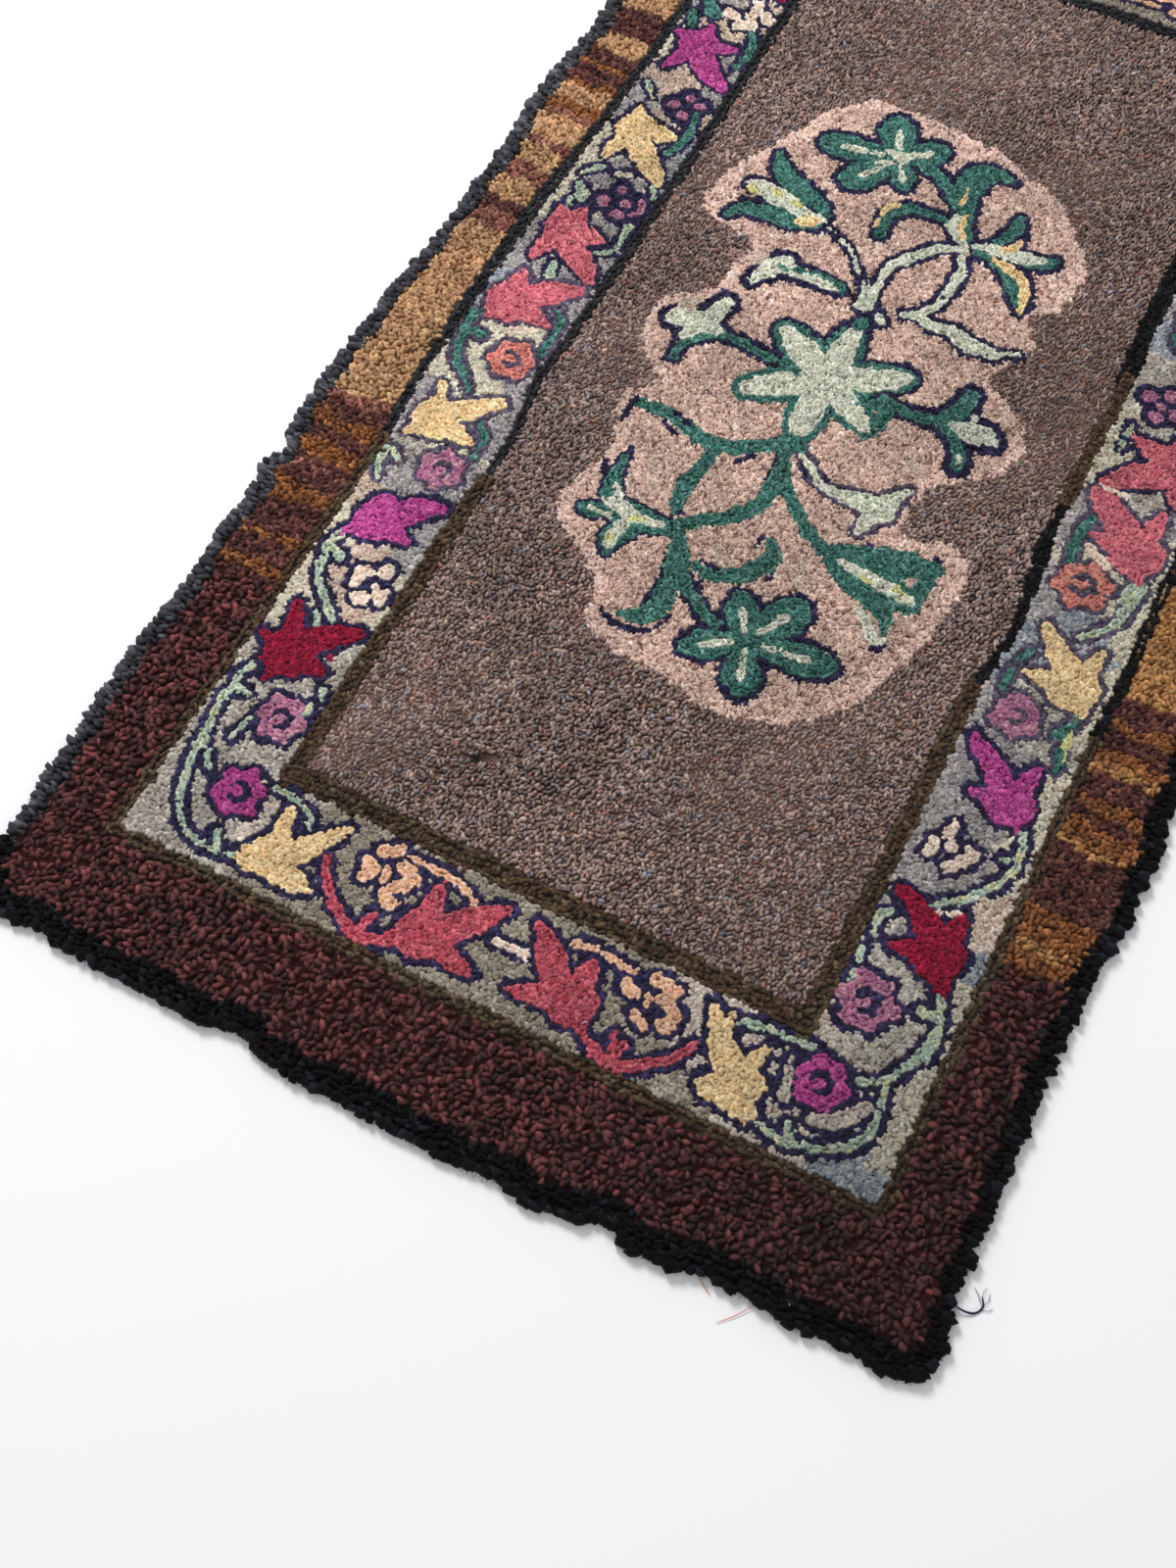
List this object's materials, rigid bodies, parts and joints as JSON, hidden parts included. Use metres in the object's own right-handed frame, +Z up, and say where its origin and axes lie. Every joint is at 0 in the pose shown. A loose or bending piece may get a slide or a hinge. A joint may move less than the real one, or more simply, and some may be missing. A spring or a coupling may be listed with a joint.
{
  "type": "hooked rug",
  "caption": "Flat rectangular hooked rug of wool loops with a black ragged edge, striped outer band, floral border and a flower medallion on a mottled field.",
  "frame": {"origin": "on the floor, under the middle of the rug's outline", "axes": "+Z up from the floor, +Y along the rug's length, +X across its width, to the right when the rug is seen from the end that the picture shows nearest"},
  "size_m": [0.7738, 1.4322, 0.0105],
  "materials": {
    "wool_pile": "matte hooked wool loops, taupe field with coloured flowers"
  },
  "bodies": {
    "root": {"hooked_rug": "wool_pile"}
  },
  "joints": []
}
